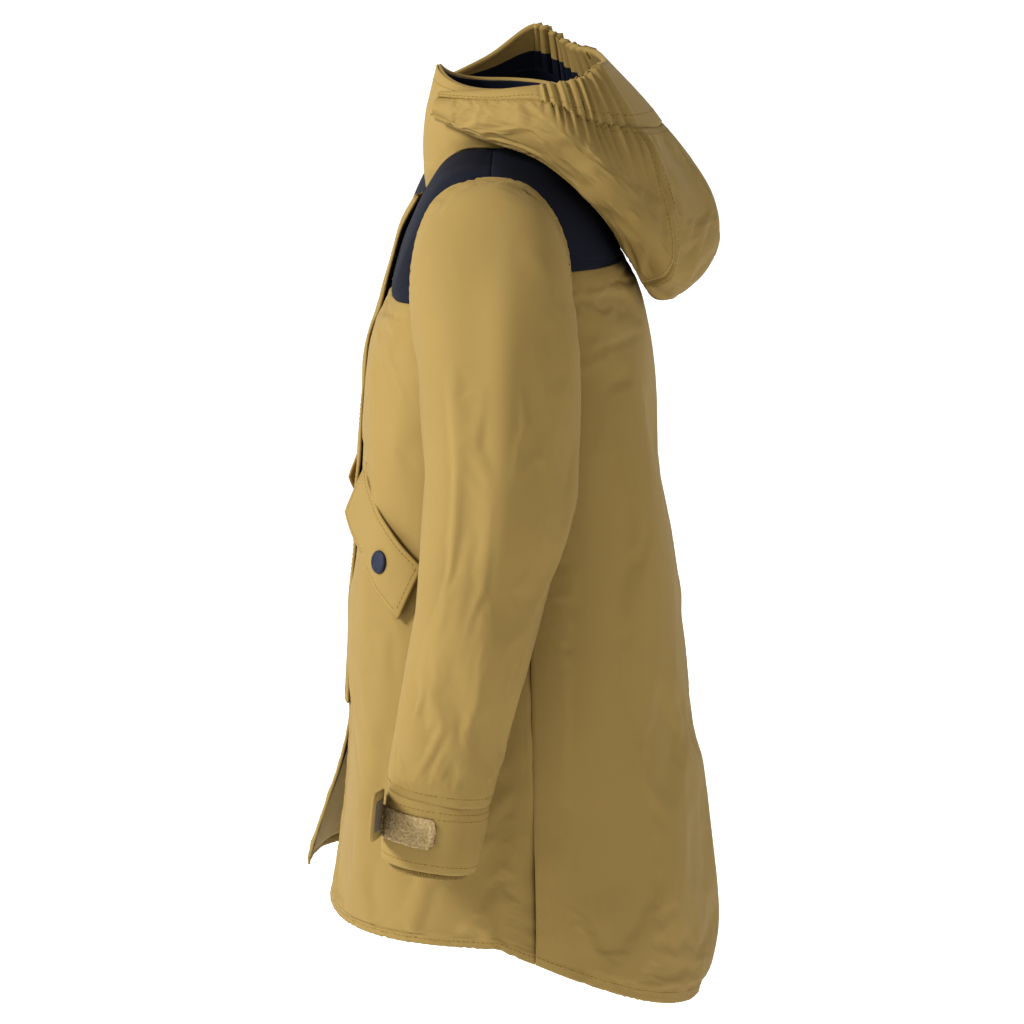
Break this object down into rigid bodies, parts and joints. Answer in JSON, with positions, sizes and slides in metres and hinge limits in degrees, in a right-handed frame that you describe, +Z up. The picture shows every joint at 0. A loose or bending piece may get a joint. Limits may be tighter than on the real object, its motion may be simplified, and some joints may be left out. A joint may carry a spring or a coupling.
{
  "type": "hooded parka",
  "caption": "Child's padded hooded parka with a lowered hood, storm flap over a front zip, slanted snap pockets and hook-and-loop cuff tabs.",
  "frame": {"origin": "inside the neck, level with the side of the neck seam, on the coat's middle plane", "axes": "+Z up as worn, -Y towards the wearer's front, +X towards the wearer's left"},
  "size_m": [0.5522, 0.2795, 0.6461],
  "materials": {
    "shell": "matte woven nylon",
    "navy": "matte woven nylon",
    "lining": "smooth taffeta",
    "padding": "loose fibre",
    "rib": "rib knit",
    "elastic": "woven elastic",
    "tape": "woven tape",
    "coil": "moulded coil",
    "snap": "smooth",
    "metal": "satin",
    "fastener": "hook and loop"
  },
  "bodies": {
    "coat": {"front_panel_left": "shell", "front_panel_right": "shell", "front_yoke_left": "navy", "front_yoke_right": "navy", "back_panel": "shell", "back_yoke": "navy", "front_lining_left": "lining", "front_lining_right": "lining", "back_lining": "lining", "back_padding": "padding", "pocket_bag_left": "lining", "pocket_bag_right": "lining", "pocket_snap_stud_left": "metal", "pocket_snap_stud_right": "metal", "collar": "shell", "collar_lining": "lining", "hang_loop": "tape", "zip_tape_left": "tape", "zip_tape_right": "tape", "zip_coil_left": "coil", "zip_coil_right": "coil", "storm_loop_upper": "fastener", "storm_loop_middle": "fastener", "storm_loop_lower": "fastener"},
    "pocket_flap_left": {"pocket_flap_left": "shell", "pocket_snap_cap_left": "snap", "pocket_snap_socket_left": "metal"},
    "pocket_flap_right": {"pocket_flap_right": "shell", "pocket_snap_cap_right": "snap", "pocket_snap_socket_right": "metal"},
    "sleeve_left": {"sleeve_left": "shell", "sleeve_lining_left": "lining", "cuff_left": "shell", "rib_cuff_left": "rib", "cuff_loop_left": "fastener"},
    "sleeve_right": {"sleeve_right": "shell", "sleeve_lining_right": "lining", "cuff_right": "shell", "rib_cuff_right": "rib", "cuff_loop_right": "fastener"},
    "cuff_tab_left": {"cuff_tab_left": "shell", "cuff_hook_left": "fastener"},
    "cuff_tab_right": {"cuff_tab_right": "shell", "cuff_hook_right": "fastener"},
    "zip_slider": {"zip_slider": "metal"},
    "zip_pull": {"zip_pull": "metal"},
    "storm_flap": {"storm_flap": "shell", "storm_hook_upper": "fastener", "storm_hook_middle": "fastener", "storm_hook_lower": "fastener"},
    "hood": {"hood_shell": "shell", "hood_lining": "lining", "hood_band": "shell", "hood_elastic_left": "elastic", "hood_elastic_right": "elastic"}
  },
  "joints": [
    {"name": "sleeve_left", "type": "hinge", "parent": "coat", "child": "sleeve_left", "pos_m": [0.137, -0.0135, -0.0095], "axis": [0, -1, 0], "range_deg": [0, 45]},
    {"name": "sleeve_right", "type": "hinge", "parent": "coat", "child": "sleeve_right", "pos_m": [-0.137, -0.0135, -0.0095], "axis": [0, 1, 0], "range_deg": [0, 45]},
    {"name": "pocket_flap_left", "type": "hinge", "parent": "coat", "child": "pocket_flap_left", "pos_m": [0.1456, -0.0848, -0.2374], "axis": [-0.661, -0.395, 0.638], "range_deg": [0, 100]},
    {"name": "pocket_flap_right", "type": "hinge", "parent": "coat", "child": "pocket_flap_right", "pos_m": [-0.1456, -0.0848, -0.2374], "axis": [-0.661, 0.395, -0.638], "range_deg": [0, 100]},
    {"name": "cuff_tab_left", "type": "hinge", "parent": "sleeve_left", "child": "cuff_tab_left", "pos_m": [0.23442, -0.08343, -0.41299], "axis": [-0.0795, 0.0811, 0.9935], "range_deg": [-25, 20]},
    {"name": "cuff_tab_right", "type": "hinge", "parent": "sleeve_right", "child": "cuff_tab_right", "pos_m": [-0.23442, -0.08343, -0.41299], "axis": [-0.0795, -0.0811, -0.9935], "range_deg": [-25, 20]},
    {"name": "hood", "type": "hinge", "parent": "coat", "child": "hood", "pos_m": [0, -0.04, 0.025], "axis": [1, 0, 0], "range_deg": [0, 45]},
    {"name": "storm_flap", "type": "hinge", "parent": "coat", "child": "storm_flap", "pos_m": [-0.0245, -0.0992, -0.16], "axis": [0, -0.0554, -0.9985], "range_deg": [0, 75]},
    {"name": "zip_slider", "type": "hinge", "parent": "coat", "child": "zip_slider", "pos_m": [0, 1.3987, -0.39], "axis": [1, 0, 0], "range_deg": [0, 10.5]},
    {"name": "zip_pull", "type": "hinge", "parent": "zip_slider", "child": "zip_pull", "pos_m": [0, -0.07478, -0.086], "axis": [-1, 0, 0], "range_deg": [0, 4]}
  ]
}
